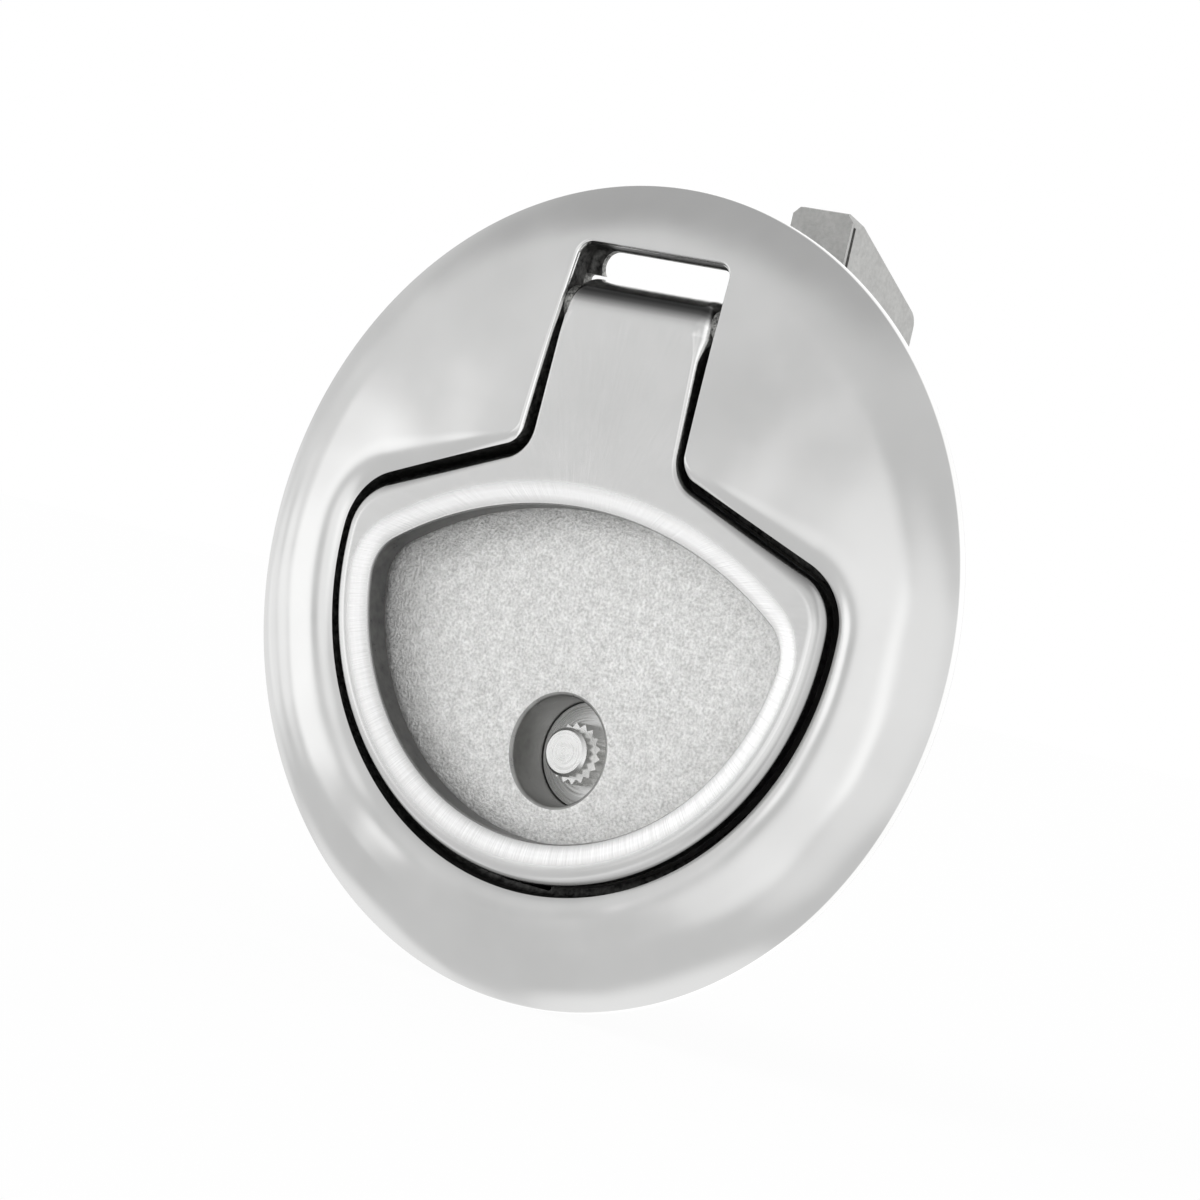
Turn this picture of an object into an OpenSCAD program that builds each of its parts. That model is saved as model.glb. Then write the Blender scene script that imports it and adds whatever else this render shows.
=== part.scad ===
// Locking slam latch for a round panel hole: pull ring in a domed flange, sprung bolt and key lock.
// X runs right, Y into the panel and Z up. Y = 0 is the flange's seat on the panel. Sizes in mm.

/* [Flange] */
// Width of the flange outside the barrel
flange_w = 8.25; // [7.6:0.05:10]
// Height of the thin lip at the rim
rim_h = 0.6; // [0.4:0.1:1.0]
// Width of the bevel inside the rim
bevel_w = 2.45; // [1.8:0.05:2.8]
// Height of the flange at the top of the bevel
bevel_h = 2.6; // [2.4:0.1:2.9]
// Rounding between the bevel and the dome
crease_r = 2.4; // [1.6:0.2:2.6]
// Height of the dome at its middle
dome_h = 5.0; // [4.7:0.1:5.4]
// Rounding of the lip round the recess
lip_r = 1.2; // [0.6:0.1:1.4]

/* [Panel barrel] */
// Diameter of the barrel that fills the panel hole
barrel_d = 50.2; // [49.8:0.1:50.6]
// Length of the barrel behind the flange
barrel_len = 11; // [11:0.5:13]
// Wall of the barrel
barrel_wall = 1.7; // [1.4:0.1:1.8]
// Thickness of the recess floor
floor_t = 2.7; // [2.4:0.1:2.9]

/* [Pull handle] */
// How much smaller the ring is across than the barrel
ring_less = 3.8; // [3.4:0.1:4.8]
// Width of the ring's lower bar
ring_w = 3.0; // [2.8:0.1:3.2]
// Height of the handle's front above the seat
handle_h = 4.0; // [3.8:0.1:4.2]
// Thickness of the handle
handle_t = 3.1; // [2.8:0.1:3.2]
// Gap round the handle in its recess
handle_gap = 1.2; // [1.0:0.05:1.4]
// Width of the tongue at the hinge
tongue_w = 12.6; // [12:0.1:13]
// Extra width of the tongue at its root
tongue_flare = 1.0; // [0:0.1:1.4]
// Height of the shoulder lines at the middle
shoulder_z = 12.5; // [12:0.1:13]
// Slope of the shoulders
shoulder_a = 20.4; // [19:0.2:22]
// Radius of the outer corners of the shoulders
corner_r = 4.4; // [3.6:0.1:5]
// Radius between tongue and shoulder
root_r = 3.2; // [2.4:0.1:3.8]
// Top of the finger opening
arch_z = 6.5; // [6:0.1:7]
// Radius of the arch over the finger opening
arch_r = 33; // [31:0.5:36]
// Radius of the corners of the finger opening
arch_corner_r = 3.5; // [3:0.1:4]
// Rounding of the front edge round the finger opening
edge_r = 1.4; // [1.0:0.1:1.6]
// Rounding of the handle's outer front edge
brim_r = 0.9; // [0.5:0.1:1.1]
// Radius of the rolled top of the tongue
roll_r = 2.4; // [2.2:0.1:2.5]
// Distance of the hinge axis inside the barrel's edge
hinge_in = 2.5; // [2.3:0.1:2.7]
// Diameter of the hinge pin
pin_d = 3; // [2.6:0.1:3.2]
// Length of the hinge pin
pin_len = 19; // [18.5:0.1:19.4]

/* [Bolt] */
// Width of the bolt
bolt_w = 6; // [5.6:0.1:6.2]
// Depth of the bolt
bolt_depth = 13.6; // [13.2:0.1:14]
// Distance of the bolt's catching face behind the seat
bolt_face = 20.2; // [20:0.1:21]
// Height of the bolt's tip above the axis
bolt_tip = 36; // [34:0.5:38]
// Slope of the ramp on the bolt's back
ramp_a = 26; // [24:0.5:30]
// Travel of the bolt
travel = 10.5; // [9.5:0.1:10.5]
// Wire diameter of the bolt spring
wire_d = 0.6; // [0.5:0.05:0.7]

/* [Lock] */
// Diameter of the key hole
key_d = 8.9; // [8.7:0.1:9.2]
// Distance of the lock axis below the middle
key_z = 12.8; // [12.6:0.1:13]
// Depth of the key hole from the recess floor to the turned collar
key_depth = 4.4; // [4:0.1:4.6]
// Diameter of the key post
post_d = 4.0; // [3.8:0.1:4.2]
// Number of teeth on the post's collar
teeth = 18; // [14:1:20]
// Diameter of the spindle's shaft
shaft_d = 5; // [4.8:0.1:5.2]

/* [Fasteners and seals] */
// Diameter of the housing screws
screw_d = 3; // [2.6:0.1:3.2]
// Distance of the housing screws inside the barrel's bore
screw_in = 3.4; // [3.3:0.1:3.6]
// Angle of the housing screws above and below the middle
screw_a = 35; // [33:0.5:37]
// Distance of the clamp screw holes inside the barrel's bore
clamp_in = 5.9; // [5.4:0.1:6.4]
// Tapping diameter of the clamp screw holes
clamp_d = 3.3; // [3:0.1:3.6]
// Thickness of the housing gasket
gasket_t = 0.5; // [0.4:0.1:0.8]

/* [Hidden] */
$fn = 96;
eps = 0.01;
slip = 0.3;
press = 0.02;
// A root round is this much larger than a tangent one, so that it crosses the lines it joins
crossing = 0.01;
// Straight and corner edge rounds are a little smaller than the others and run past their ends
line_less = 0.06;
corner_less = 0.03;
line_over = 0.4;
corner_over = 1.5;
barrel_r = barrel_d / 2;
flange_r = barrel_r + flange_w;
dome_r = flange_r - bevel_w;
dome_sag = dome_h - bevel_h;
dome_sphere = (dome_r * dome_r + dome_sag * dome_sag) / (2 * dome_sag);
dome_out = [dome_r / dome_sphere, sqrt(1 - pow(dome_r / dome_sphere, 2))];
bevel_out = unit([bevel_h - rim_h, bevel_w]);
crease_mid = [dome_r, bevel_h] - crease_r * (dome_out + bevel_out) / (1 + dome_out * bevel_out);
barrel_in = barrel_r - barrel_wall;
floor_y = -0.5;
floor_back = floor_y + floor_t;
ring_r = (barrel_d - ring_less) / 2;
hinge_z = barrel_r - hinge_in;
screw_x = (barrel_in - screw_in) * cos(screw_a);
screw_z = (barrel_in - screw_in) * sin(screw_a);
clamp_x = barrel_in - clamp_in;
open_r = ring_r - ring_w;
recess_r = ring_r + handle_gap;
handle_back = handle_t - handle_h;
hinge_y = roll_r - handle_h;
recess_top = hinge_z + 5.0;
pocket_back = hinge_y + roll_r + slip;
root_z = 8;
tongue_half = tongue_w / 2;
slot_half = tongue_half + 0.1;
slot_low = hinge_z + roll_r + slip;
slot_high = recess_top - 0.15;

// Lever on the handle and the shelf it presses
lever_len = 14;
lever_a = 8;
lever_tip_r = 1.5;
lever_half = 3.8;
lever_gap = 0.6;
tip_y = hinge_y + lever_len * cos(lever_a);
tip_z = hinge_z - lever_len * sin(lever_a);
window_low = 11.3;
window_high = hinge_z + 0.4;
shelf_z = tip_z - lever_tip_r - slip;
shelf_front = floor_back + 1.2;
shelf_t = 3.2;
dip_r = 8;
dip_sag = 0.85;
dip_y = hinge_y + 10.45;

// Bolt, its housing and spring
bolt_half = bolt_w / 2;
bolt_back = bolt_face + bolt_depth;
case_low = -barrel_r + 0.6;
well_low = case_low + 1.5;
bolt_low = well_low + 2 * travel + 1;
run = 0.25;
plate_front = barrel_len + gasket_t;
plate_t = 1.7;
plate_back = plate_front + plate_t;
plate_r = barrel_r - 0.9;
guide_half = lever_half + 0.5;
slide_half = guide_half - run;
guide_back = bolt_face - run;
slide_back = guide_back - run;
slide_front = plate_back + run;
slide_low = 1;
catch_low = slide_low + 1.3;
catch_high = catch_low + 2.7;
catch_deep = 3.7;
notch_low = catch_low - slip;
notch_high = catch_high + travel + slip;
notch_deep = catch_deep + run;
case_wall = 1.8;
case_edge = 1.5;
case_half = bolt_half + run + case_wall;
guide_case_half = guide_half + 1.6;
case_back = bolt_back + run + 1.5;
case_front = guide_back - 1.5;
case_top = hinge_z + 1;
guide_top = hinge_z - 0.1;
guide_low = slide_low - travel - 0.4;
spring_y = bolt_face + 7.8;
spring_d = 3.4;
spring_bore = spring_d + wire_d + 0.4;
spring_top = 9;
spring_turns = 12;
rod_d = 2;
rod_top = well_low + 10;

// Screw heads and their sockets
head_more = 2.6;
head_h = 1.3;
socket_w = 2;
socket_deep = 1.4;

// Lock
collar_y = floor_y + key_depth;
collar_t = 0.6;
washer_t = 0.4;
washer_more = 4.4;
seat_y = collar_y + collar_t + washer_t;
boss_r = key_d / 2 + 1.6;
boss_back = seat_y + 1.3;
cam_front = boss_back + washer_t;
cam_t = 1.5;
cam_back = cam_front + cam_t;
clip_t = 0.6;
flat_w = shaft_d - 1.2;
cam_half = 1.8;
cam_step = floor_back + 0.4;
lug_half = 1.6;
lug_in = ring_r - ring_w + 0.4;
lug_out = lug_in + 2.3;
cam_rise = lug_in - key_z - slip;
cam_tip = lug_in - key_z + 0.9;
lug_web = key_z + cam_tip + 0.5;
foot_front = cam_step + cam_t + slip;
foot_back = foot_front + 1.4;
hook_low = lug_out + 0.9;

// Seal groove in the flange's back
seal_in = flange_r - 4.4;
seal_out = flange_r - 2.3;
seal_t = 1.2;

STEEL = [0.78, 0.79, 0.80];
CAST = [0.62, 0.63, 0.64];
RUBBER = [0.12, 0.12, 0.13];

// A flat outline in X and Z, made solid from one depth to another
module slab(y0, y1) {
    translate([0, y1, 0])
        rotate([90, 0, 0])
            linear_extrude(y1 - y0)
                children();
}

// A profile of radius and height towards the front, turned about the barrel axis
module turned(start = 0, sweep = 360) {
    rotate([90, 0, 0])
        rotate_extrude(start = start, angle = sweep)
            children();
}

// A round bar along Y
module bar_y(d, y0, y1, x = 0, z = 0) {
    translate([x, y1, z])
        rotate([90, 0, 0])
            cylinder(d = d, h = y1 - y0);
}

// A box given by its two corners
module block(a, b) {
    translate(a)
        cube(b - a);
}

// Both sides of the middle plane
module both_sides() {
    children();
    mirror([1, 0, 0])
        children();
}

function unit(v) = v / norm(v);

// Height of the dome over a point of the plan
function dome_at(p) = dome_h - dome_sphere + sqrt(dome_sphere * dome_sphere - p * p);

// Height of an edge over a point of the plan, on the dome or on the flat handle
function brim_at(p, recess) = recess ? dome_at(p) : handle_h;

// Middle of the round corner between the ring's circle and the sloping shoulder
function shoulder_corner(r, c, s) =
    let (t = tan(shoulder_a))
    let (b = s - c / cos(shoulder_a))
    let (k = 1 + t * t)
    let (x = (b * t + sqrt(b * b * t * t - k * (b * b - (r - c) * (r - c)))) / k)
    [x, b - t * x];

// Middle of the round corner between the lower circle and the arch of the finger opening
function opening_corner() =
    let (a = arch_z - arch_r)
    let (p = open_r - arch_corner_r)
    let (q = arch_r - arch_corner_r)
    let (z = (p * p + a * a - q * q) / (2 * a))
    [sqrt(p * p - z * z), z];

// Point at a set distance outside both the tongue's side and the shoulder
function root_point(f, w, s) =
    let (d = atan((tongue_flare / 2) / (hinge_z - root_z)))
    let (t = tan(shoulder_a))
    let (up = s + f / cos(shoulder_a))
    let (x = (w + hinge_z * tan(d) + f / cos(d) - up * tan(d)) / (1 - t * tan(d)))
    [x, up - t * x];

// Wedge of a corner, cut off before its round takes its place
module corner_wedge(c, u, v, size) {
    polygon([c, c + u * size, c + (u + v) * size, c + v * size]);
}

// Outline of ring, shoulders and tongue, grown by a margin
module handle_plan(grow, top, top_r) {
    r = ring_r + grow;
    c = corner_r + grow;
    s = shoulder_z + grow / cos(shoulder_a);
    w = tongue_half + grow;
    flare = (tongue_flare / 2) / (hinge_z - root_z);
    slope = [sin(shoulder_a), cos(shoulder_a)];
    mid = shoulder_corner(r, c, s);
    f = root_r - grow;
    root = root_point(f, w, s);
    knee = root_point(0, w, s);
    side = unit([1, flare]);
    far = 2 * r;
    top_w = w + (hinge_z - top) * flare;
    difference() {
        intersection() {
            circle(r);
            polygon([[-far, -far], [far, -far], [far, s - far * tan(shoulder_a)], [0, s],
                [-far, s - far * tan(shoulder_a)]]);
        }
        both_sides()
            corner_wedge(mid, unit(mid), slope, 3 * c);
    }
    both_sides() {
        translate(mid)
            circle(c);
        difference() {
            polygon([knee - [1, 1], root - f * side, root - f * slope]);
            translate(root)
                circle(f + crossing);
        }
        translate([top_w - top_r, top - top_r])
            circle(max(top_r, eps));
    }
    polygon([[-w - (hinge_z - root_z) * flare, root_z], [-top_w, top - top_r],
        [-top_w + top_r, top], [top_w - top_r, top], [top_w, top - top_r],
        [w + (hinge_z - root_z) * flare, root_z]]);
}

// Outline of the finger opening
module opening_plan() {
    mid = opening_corner();
    arch_mid = [0, arch_z - arch_r];
    difference() {
        intersection() {
            circle(open_r);
            translate(arch_mid)
                circle(arch_r);
        }
        both_sides()
            corner_wedge(mid, unit(mid), unit(mid - arch_mid), 3 * arch_corner_r);
    }
    both_sides()
        translate(mid)
            circle(arch_corner_r);
}

// Section that rounds an edge off: the corner left outside a circle that crosses both faces
module edge_off(r, h, f, inward) {
    side = inward ? -1 : 1;
    c = 1.8 * f;
    near = max(r - side * c, min(r, 0.05));
    difference() {
        polygon([[r + side * 0.5, h + 0.5], [near, h + 0.5], [near, h - c], [r + side * 0.5, h - c]]);
        translate([r - side * c, h - c])
            circle(norm([c - f, c]));
    }
}

// Rounding along a straight edge between two points of the plan, each with its height.
// It runs on a little into the arcs at its ends, and stays just inside them.
module edge_line(a, ha, b, hb, f, inward) {
    line = [b[0] - a[0], b[1] - a[1], hb - ha];
    d = unit(line);
    n = [-unit(b - a)[1], unit(b - a)[0], 0];
    v = cross(d, n);
    rotate([90, 0, 0])
        multmatrix([[n[0], v[0], d[0], a[0]], [n[1], v[1], d[1], a[1]],
                [n[2], v[2], d[2], ha], [0, 0, 0, 1]])
            translate([-50, 0, -line_over])
                linear_extrude(norm(line) + 2 * line_over)
                    edge_off(50, 0, f - line_less, inward);
}

// Rounding along an arc of the plan
module edge_arc(c, r, start, sweep, h, f, inward) {
    translate([c[0], 0, c[1]])
        turned(start, sweep)
            edge_off(r, h, f, inward);
}

// Rounding of the handle's outer edge, or of the recess lip that follows it
module plan_edge(grow, f, recess) {
    r = ring_r + grow;
    c = corner_r + grow;
    s = shoulder_z + grow / cos(shoulder_a);
    w = tongue_half + grow;
    flare = (tongue_flare / 2) / (hinge_z - root_z);
    slope = [sin(shoulder_a), cos(shoulder_a)];
    mid = shoulder_corner(r, c, s);
    q = root_r - grow;
    root = root_point(q, w, s);
    side = unit([1, flare]);
    low = atan2(mid[1], mid[0]);
    outer = mid + c * slope;
    inner = root - q * slope;
    foot = root - q * side;
    top = [w + (hinge_z - recess_top) * flare, recess_top];
    tilt = atan(flare);
    edge_arc([0, 0], r, 180 - low, 180 + 2 * low, brim_at([r, 0], recess), f, recess);
    both_sides() {
        edge_arc(mid, c, low - corner_over, 90 - shoulder_a - low + 2 * corner_over,
            brim_at(outer, recess), f - corner_less, recess);
        edge_line(inner, brim_at(inner, recess), outer, brim_at(outer, recess), f, recess);
        edge_arc(root, q + crossing, 180 + tilt, 90 - shoulder_a - tilt, brim_at(root, recess), f, !recess);
        if (recess)
            edge_line(top, dome_at(top), foot, dome_at(foot), f, true);
        else
            edge_line([w, hinge_z + roll_r], handle_h, foot, handle_h, f, false);
    }
    if (recess)
        edge_line([-top[0], top[1]], dome_at(top), top, dome_at(top), f, true);
}

// Rounding of the front edge all round the finger opening
module opening_edge() {
    mid = opening_corner();
    arch_mid = [0, arch_z - arch_r];
    low = atan2(mid[1], mid[0]);
    high = atan2(mid[1] - arch_mid[1], mid[0]);
    turned(180 - low, 180 + 2 * low)
        edge_off(open_r, handle_h, edge_r, true);
    translate([0, 0, arch_mid[1]])
        turned(high, 180 - 2 * high)
            edge_off(arch_r, handle_h, edge_r, true);
    both_sides()
        translate([mid[0], 0, mid[1]])
            turned(low, high - low)
                edge_off(arch_corner_r, handle_h, edge_r - corner_less, true);
}

// Half section of the flange: rim, bevel and dome, with the crease between them rounded
module flange_profile() {
    difference() {
        intersection() {
            polygon([[0, 0], [flange_r, 0], [flange_r, rim_h], [dome_r, bevel_h],
                [dome_r, dome_h], [0, dome_h]]);
            union() {
                square([flange_r, bevel_h]);
                intersection() {
                    translate([0, dome_h - dome_sphere])
                        circle(dome_sphere, $fn = 360);
                    square([dome_r, dome_h]);
                }
            }
        }
        difference() {
            corner_wedge(crease_mid, dome_out, bevel_out, 3 * crease_r);
            translate(crease_mid)
                circle(crease_r + crossing);
        }
    }
}

module flange_body() {
    color(STEEL)
    difference() {
        union() {
            turned()
                flange_profile();
            difference() {
                bar_y(barrel_d, -eps, barrel_len);
                bar_y(2 * barrel_in, floor_back, barrel_len + 1);
            }
            bar_y(2 * boss_r, floor_back - eps, boss_back, 0, -key_z);
            for (x = [-screw_x, screw_x], z = [-screw_z, screw_z])
                bar_y(screw_d + 3.4, floor_back - eps, plate_front, x, z);
            intersection() {
                block([-pin_len / 2 - 1, floor_back - 1, hinge_z - 4.2],
                    [pin_len / 2 + 1, floor_back + 2, barrel_r]);
                bar_y(barrel_d - 1, 0, barrel_len);
            }
        }
        slab(-dome_h - 1, floor_y)
            handle_plan(handle_gap, recess_top, 1.2);
        block([-tongue_half - handle_gap, -dome_h, hinge_z - roll_r - slip],
            [tongue_half + handle_gap, pocket_back, hinge_z + roll_r + slip]);
        slab(-2, 1) {
            translate([-slot_half + 0.9, slot_low - 0.4])
                square([2 * slot_half - 1.8, slot_high - slot_low + 0.4]);
            both_sides()
                translate([slot_half - 0.9, slot_high - 0.9])
                    circle(0.9);
        }
        block([-lever_half - lever_gap, -2, window_low],
            [lever_half + lever_gap, floor_back + 3, window_high]);
        block([-lug_half - 0.8, -2, -hook_low], [lug_half + 0.8, foot_back + 0.6, -lug_in + 0.3]);
        bar_y(key_d, -dome_h, seat_y, 0, -key_z);
        bar_y(shaft_d + 0.1, seat_y - 1, boss_back + 1, 0, -key_z);
        translate([-pin_len / 2, hinge_y, hinge_z])
            rotate([0, 90, 0])
                cylinder(d = pin_d + press, h = pin_len);
        for (x = [-screw_x, screw_x], z = [-screw_z, screw_z])
            bar_y(screw_d + press, floor_back + 2, plate_front + 1, x, z);
        turned()
            polygon([[seal_in, -1], [seal_out, -1], [seal_out, seal_t], [seal_in, seal_t]]);
        plan_edge(handle_gap, lip_r, true);
    }
}

module panel_seal() {
    color(RUBBER)
    turned()
        polygon([[seal_in, 0], [seal_out, 0], [seal_out, seal_t], [seal_in, seal_t]]);
}

module hinge_pin() {
    color(STEEL)
    translate([-pin_len / 2, hinge_y, hinge_z])
        rotate([0, 90, 0])
            cylinder(d = pin_d, h = pin_len);
}

module pull_handle() {
    color(STEEL)
    difference() {
        union() {
            slab(-handle_h, handle_back)
                handle_plan(0, hinge_z, 0);
            translate([-tongue_half, hinge_y, hinge_z])
                rotate([0, 90, 0])
                    cylinder(r = roll_r, h = tongue_w);
            lever();
            lock_lug();
        }
        slab(-handle_h - 1, handle_back + 1)
            opening_plan();
        opening_edge();
        plan_edge(0, brim_r, false);
        translate([-tongue_half - 1, hinge_y, hinge_z])
            rotate([0, 90, 0])
                cylinder(d = pin_d + 0.1, h = tongue_w + 2);
    }
}

// Arm behind the hinge, drawn in Y and Z, that presses the retractor down
module lever() {
    translate([-lever_half, 0, 0])
        rotate([90, 0, 90])
            linear_extrude(2 * lever_half) {
                polygon([[hinge_y, hinge_z - roll_r + 0.2], [hinge_y, hinge_z],
                    [hinge_y + 2.6, hinge_z - 0.2],
                    [tip_y, tip_z + lever_tip_r], [tip_y, tip_z - lever_tip_r],
                    [hinge_y + 2, hinge_z - 2.7]]);
                translate([tip_y, tip_z])
                    circle(lever_tip_r);
            }
}

// Hook on the ring's back that the lock cam holds
module lock_lug() {
    difference() {
        block([-lug_half, handle_back - 1, -lug_out], [lug_half, foot_back, -lug_in]);
        block([-lug_half - 1, cam_step - slip, -lug_web], [lug_half + 1, foot_front, 0]);
    }
}

module retractor() {
    color(CAST)
    difference() {
        union() {
            block([-lever_half, shelf_front, shelf_z - shelf_t], [lever_half, slide_back, shelf_z]);
            block([-slide_half, slide_front, slide_low], [slide_half, slide_back, shelf_z]);
            block([-bolt_half + 0.4, slide_back - 1, catch_low],
                [bolt_half - 0.4, bolt_face + catch_deep, catch_high]);
        }
        translate([-lever_half - 1, dip_y, shelf_z + dip_r - dip_sag])
            rotate([0, 90, 0])
                cylinder(r = dip_r, h = 2 * lever_half + 2);
        block([-slide_half + 1.4, slide_front + 1.4, catch_high + 1.5],
            [slide_half - 1.4, slide_back + 1, shelf_z - shelf_t - 1]);
    }
}

// Side view of the bolt in Y and Z: catching face, tip and ramp
module bolt_side() {
    nose_r = 1.6;
    tip_flat = 0.5;
    tip_drop = 0.1;
    drop = (bolt_depth - tip_flat) * tan(ramp_a);
    corner_z = bolt_tip - drop;
    nose = [bolt_back - nose_r, corner_z + nose_r * (tan(ramp_a) - 1 / cos(ramp_a))];
    difference() {
        polygon([[bolt_face, bolt_low], [bolt_back, bolt_low], [bolt_back, corner_z],
            [bolt_face + tip_flat, bolt_tip], [bolt_face, bolt_tip - tip_drop]]);
        corner_wedge(nose, [1, 0], [sin(ramp_a), cos(ramp_a)], 3 * nose_r);
        translate([bolt_face - 1, notch_low])
            square([notch_deep + 1, notch_high - notch_low]);
    }
    translate(nose)
        circle(nose_r);
}

// The bolt has a narrow slit down each side, just behind its catching face
module bolt() {
    slit_in = 0.35;
    slit_w = 0.4;
    slit_deep = 0.5;
    slit_top = 1.1;
    color(CAST)
    difference() {
        translate([-bolt_half, 0, 0])
            rotate([90, 0, 90])
                linear_extrude(bolt_w)
                    bolt_side();
        translate([0, spring_y, bolt_low - 1])
            cylinder(d = spring_bore, h = spring_top - bolt_low + 1);
        both_sides()
            translate([bolt_half, 0, bolt_tip])
                rotate([0, 45, 0])
                    cube([1.0, 200, 1.0], center = true);
        both_sides()
            block([bolt_half - slit_deep, bolt_face + slit_in, bolt_low - 1],
                [bolt_half + 1, bolt_face + slit_in + slit_w, bolt_tip - slit_top]);
    }
}

// Coil of round wire: its cut across the axis is a thin crescent that is swept up the helix
module bolt_spring() {
    pitch = (spring_top - well_low - wire_d) / spring_turns;
    reach = 180 * wire_d / pitch;
    color(STEEL)
    translate([0, spring_y, well_low + wire_d / 2])
        linear_extrude(spring_top - well_low - wire_d, twist = -360 * spring_turns,
                slices = 14 * spring_turns, $fn = 8)
            polygon([for (t = [0 : 45 : 315])
                let (r = spring_d / 2 + wire_d / 2 * cos(t))
                [r * cos(reach * sin(t)), r * sin(reach * sin(t))]]);
}

module spring_rod() {
    color(STEEL)
    translate([0, spring_y, case_low])
        cylinder(d = rod_d, h = rod_top - case_low);
}

module bolt_housing() {
    color(CAST)
    difference() {
        union() {
            bar_y(2 * plate_r, plate_front, plate_back);
            block([-guide_case_half, plate_back - eps, guide_low - 1.5],
                [guide_case_half, guide_back + 0.5, case_top]);
            bolt_case();
            both_sides()
                bar_y(8, plate_back - eps, plate_back + 4.3, clamp_x, 0);
            both_sides()
                block([guide_case_half - 1, plate_back - eps, -1.2], [clamp_x, plate_back + 2.2, 1.2]);
        }
        block([-guide_half, plate_back - 0.2, guide_low], [guide_half, guide_back, guide_top]);
        block([-guide_half, plate_front - 1, shelf_z - shelf_t - travel - 0.4],
            [guide_half, guide_back, guide_top]);
        block([-bolt_half - run, guide_back - 1, well_low],
            [bolt_half + run, bolt_back + run, case_top + 1]);
        translate([0, spring_y, case_low - 1])
            cylinder(d = rod_d + press, h = 4);
        both_sides()
            bar_y(clamp_d, plate_front + 0.6, plate_back + 5, clamp_x, 0);
        for (x = [-screw_x, screw_x], z = [-screw_z, screw_z])
            screw_shape(x, z, screw_d + press);
    }
}

// Narrow case round the bolt: round at its back edges, sloped at its lower end
module bolt_case() {
    intersection() {
        translate([0, 0, case_low])
            linear_extrude(case_top - case_low) {
                translate([-case_half, case_front])
                    square([2 * case_half, case_back - case_front - case_edge]);
                translate([-case_half + case_edge, case_front])
                    square([2 * (case_half - case_edge), case_back - case_front]);
                both_sides()
                    translate([case_half - case_edge, case_back - case_edge])
                        circle(case_edge);
            }
        translate([-case_half - 1, 0, 0])
            rotate([90, 0, 90])
                linear_extrude(2 * case_half + 2)
                    polygon([[case_front - 1, case_low], [case_back - 1.4, case_low],
                        [case_back + 0.2, case_low + 1.6],
                        [case_back + 0.2, case_top], [case_front - 1, case_top]]);
    }
}

module housing_gasket() {
    color(RUBBER)
    difference() {
        bar_y(2 * plate_r, barrel_len, plate_front);
        bar_y(2 * barrel_in, barrel_len - 1, plate_front + 1);
    }
}

// Countersunk screw: cone at the plate's back and a shank into the boss
module screw_shape(x, z, d) {
    bar_y(d, floor_back + 3, plate_back, x, z);
    translate([x, plate_back, z])
        rotate([90, 0, 0])
            cylinder(d1 = d + head_more, d2 = d, h = head_h);
}

module housing_screw(x, z) {
    color(STEEL)
    difference() {
        screw_shape(x, z, screw_d);
        bar_y(socket_w / cos(30), plate_back - socket_deep, plate_back + 1, x, z, $fn = 6);
    }
}

module screw_upper_right() {
    housing_screw(screw_x, screw_z);
}

module screw_upper_left() {
    housing_screw(-screw_x, screw_z);
}

module screw_lower_left() {
    housing_screw(-screw_x, -screw_z);
}

module screw_lower_right() {
    housing_screw(screw_x, -screw_z);
}

// Shaft outline with two flats
module flatted(d, across) {
    intersection() {
        circle(d = d);
        square([2 * d, across], center = true);
    }
}

module lock_spindle() {
    color(STEEL)
    translate([0, 0, -key_z])
    difference() {
        union() {
            bar_y(post_d, floor_y + 0.95, collar_y);
            bar_y(key_d - 0.2, collar_y, collar_y + collar_t);
            slab(floor_y + 2.4, collar_y + eps)
                polygon([for (i = [0 : 2 * teeth - 1])
                    let (r = i % 2 == 0 ? post_d / 2 + 0.52 : post_d / 2 + 0.12)
                    [r * cos(180 * i / teeth), r * sin(180 * i / teeth)]]);
            bar_y(shaft_d, collar_y + collar_t - eps, boss_back);
            slab(boss_back - eps, cam_back + clip_t + 0.8)
                flatted(shaft_d, flat_w);
        }
        difference() {
            bar_y(shaft_d + 2, cam_back, cam_back + clip_t);
            bar_y(flat_w - 0.6, cam_back - 1, cam_back + clip_t + 1);
        }
        difference() {
            bar_y(post_d + 1, floor_y, floor_y + 1.2);
            translate([0, floor_y + 1.2, 0])
                rotate([90, 0, 0])
                    cylinder(d1 = post_d, d2 = post_d - 2.4, h = 1.2);
        }
    }
}

module spindle_seal() {
    color(RUBBER)
    difference() {
        bar_y(key_d - 0.2, collar_y + collar_t, seat_y, 0, -key_z);
        bar_y(shaft_d + 0.1, collar_y, seat_y + 1, 0, -key_z);
    }
}

module friction_washer() {
    color(STEEL)
    difference() {
        bar_y(shaft_d + washer_more, boss_back, cam_front, 0, -key_z);
        bar_y(shaft_d + 0.1, boss_back - 1, cam_front + 1, 0, -key_z);
    }
}

module lock_cam() {
    color(CAST)
    translate([0, 0, -key_z])
    difference() {
        union() {
            bar_y(shaft_d + 3.6, cam_front, cam_back);
            block([0, cam_front, -cam_half], [cam_rise, cam_back, cam_half]);
            block([boss_r + slip, cam_step, -cam_half], [cam_rise, cam_back, cam_half]);
            block([boss_r + slip, cam_step, -cam_half], [cam_tip, cam_step + cam_t, cam_half]);
        }
        slab(cam_front - 1, cam_back + 1)
            flatted(shaft_d + press, flat_w + press);
    }
}

module cam_clip() {
    color(STEEL)
    translate([0, 0, -key_z])
    difference() {
        bar_y(shaft_d + 2.6, cam_back, cam_back + clip_t);
        bar_y(flat_w - 0.6 + press, cam_back - 1, cam_back + clip_t + 1);
        block([-8, cam_back - 1, -(flat_w - 0.6) / 2 + 0.3],
            [0, cam_back + clip_t + 1, (flat_w - 0.6) / 2 - 0.3]);
    }
}

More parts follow.
